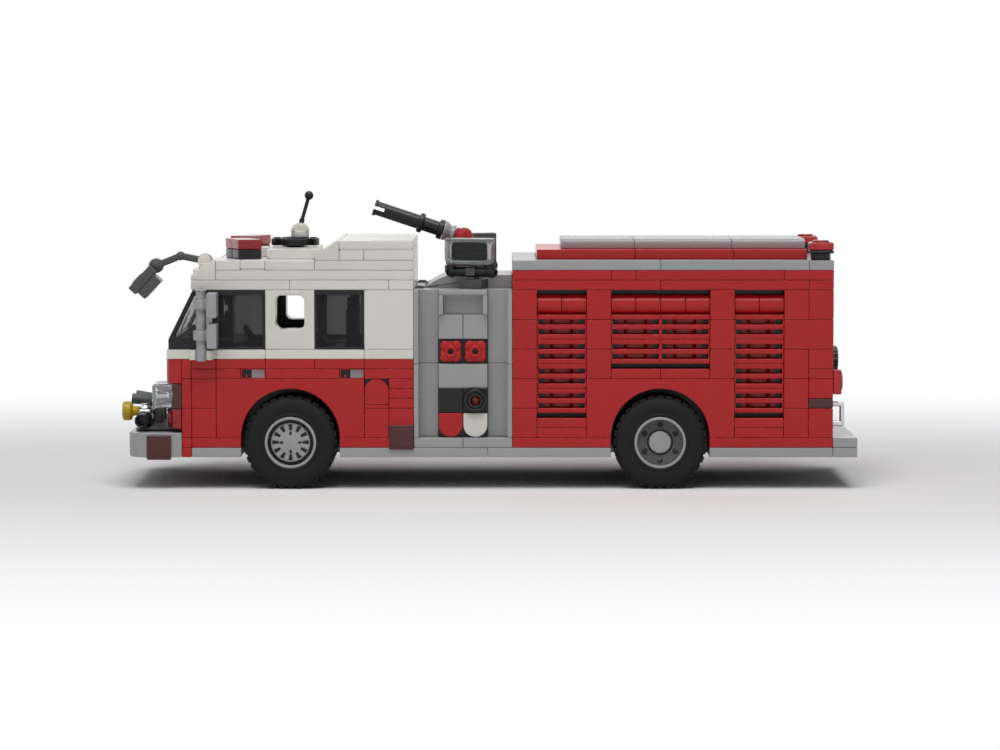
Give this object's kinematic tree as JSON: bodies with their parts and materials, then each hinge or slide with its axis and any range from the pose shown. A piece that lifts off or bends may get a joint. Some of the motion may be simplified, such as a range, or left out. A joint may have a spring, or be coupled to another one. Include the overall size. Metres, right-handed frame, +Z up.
{
  "type": "toy fire engine",
  "caption": "Brick-built toy fire engine with cab, pump panel, shuttered equipment body, turning wheels, aimable deck gun, swinging front mirror and tilting antenna.",
  "frame": {"origin": "on the floor, under the middle of the vehicle", "axes": "+X towards the tail, +Y across to the right of a viewer who looks from the tail to the nose, +Z up"},
  "size_m": [0.24, 0.08, 0.0961],
  "materials": {
    "red_plastic": "glossy moulded, red",
    "white_plastic": "glossy moulded, white",
    "light_grey_plastic": "glossy moulded, light grey",
    "dark_grey_plastic": "glossy moulded, dark grey",
    "black_plastic": "glossy moulded, black",
    "yellow_plastic": "glossy moulded, yellow",
    "chrome_plastic": "metallised",
    "red_lens": "transparent red",
    "clear_lens": "transparent clear",
    "smoke_glass": "transparent smoke",
    "tyre_rubber": "matte rubber"
  },
  "bodies": {
    "truck": {"chassis": "light_grey_plastic", "axle_holders": "dark_grey_plastic", "base_plates": "red_plastic", "bumper": "light_grey_plastic", "bumper_deck": "dark_grey_plastic", "front_hose": "black_plastic", "intake_cap": "yellow_plastic", "air_horn": "dark_grey_plastic", "pipe_fittings": "chrome_plastic", "front_wall": "red_plastic", "front_lights": "clear_lens", "badge_tiles": "red_plastic", "front_grille": "light_grey_plastic", "cab_walls": "red_plastic", "fenders": "red_plastic", "filler_doors": "red_plastic", "side_markers": "red_lens", "belt": "white_plastic", "grab_bars": "light_grey_plastic", "side_mirrors": "light_grey_plastic", "cab_pillars": "white_plastic", "window_frames": "black_plastic", "cab_glass": "smoke_glass", "windscreen_frame": "black_plastic", "cab_interior": "black_plastic", "cab_roof": "white_plastic", "roof_box": "white_plastic", "beacon_bases": "black_plastic", "beacon_lenses": "red_lens", "roof_vent": "white_plastic", "radar_disc": "black_plastic", "pump_frame": "light_grey_plastic", "pump_tiles": "light_grey_plastic", "valve_wheels": "red_plastic", "pump_ports": "black_plastic", "pump_plates": "white_plastic", "pump_roof": "light_grey_plastic", "floodlight_brackets": "dark_grey_plastic", "lamp_backs": "black_plastic", "floodlights": "clear_lens", "monitor_base": "dark_grey_plastic", "body_walls": "red_plastic", "shutters": "red_plastic", "roof_trim": "light_grey_plastic", "hose_bed": "red_plastic", "hose_cover": "light_grey_plastic", "rear_lights": "red_lens", "rear_port": "black_plastic"},
    "monitor_turn": {"monitor_yoke": "red_plastic"},
    "monitor_tube": {"monitor_barrel": "black_plastic"},
    "antenna": {"antenna_lever": "black_plastic"},
    "mirror": {"mirror_arm": "dark_grey_plastic"},
    "wheel_fl": {"tyre_fl": "tyre_rubber", "rim_fl": "light_grey_plastic"},
    "wheel_fr": {"tyre_fr": "tyre_rubber", "rim_fr": "light_grey_plastic"},
    "wheel_rl": {"tyre_rl": "tyre_rubber", "rim_rl": "light_grey_plastic"},
    "wheel_rr": {"tyre_rr": "tyre_rubber", "rim_rr": "light_grey_plastic"}
  },
  "joints": [
    {"name": "wheel_fl_spin", "type": "hinge", "parent": "truck", "child": "wheel_fl", "pos_m": [-0.064, -0.026, 0.0152], "axis": [0, 1, 0], "continuous": true},
    {"name": "wheel_fr_spin", "type": "hinge", "parent": "truck", "child": "wheel_fr", "pos_m": [-0.064, 0.026, 0.0152], "axis": [0, 1, 0], "continuous": true},
    {"name": "wheel_rl_spin", "type": "hinge", "parent": "truck", "child": "wheel_rl", "pos_m": [0.056, -0.026, 0.0152], "axis": [0, 1, 0], "continuous": true},
    {"name": "wheel_rr_spin", "type": "hinge", "parent": "truck", "child": "wheel_rr", "pos_m": [0.056, 0.026, 0.0152], "axis": [0, 1, 0], "continuous": true},
    {"name": "monitor_swivel", "type": "hinge", "parent": "truck", "child": "monitor_turn", "pos_m": [-0.008, 0, 0.06896], "axis": [0, 0, 1], "continuous": true},
    {"name": "monitor_lift", "type": "hinge", "parent": "monitor_turn", "child": "monitor_tube", "pos_m": [-0.008, 0, 0.08076], "axis": [0, 1, 0], "range_deg": [-2, 50]},
    {"name": "antenna_tilt", "type": "hinge", "parent": "truck", "child": "antenna", "pos_m": [-0.0624, 0, 0.0842], "axis": [0, 1, 0], "range_deg": [-50, 30]},
    {"name": "mirror_swing", "type": "hinge", "parent": "truck", "child": "mirror", "pos_m": [-0.0924, -0.0188, 0.0737], "axis": [0, 1, 0], "range_deg": [-20, 70]}
  ]
}
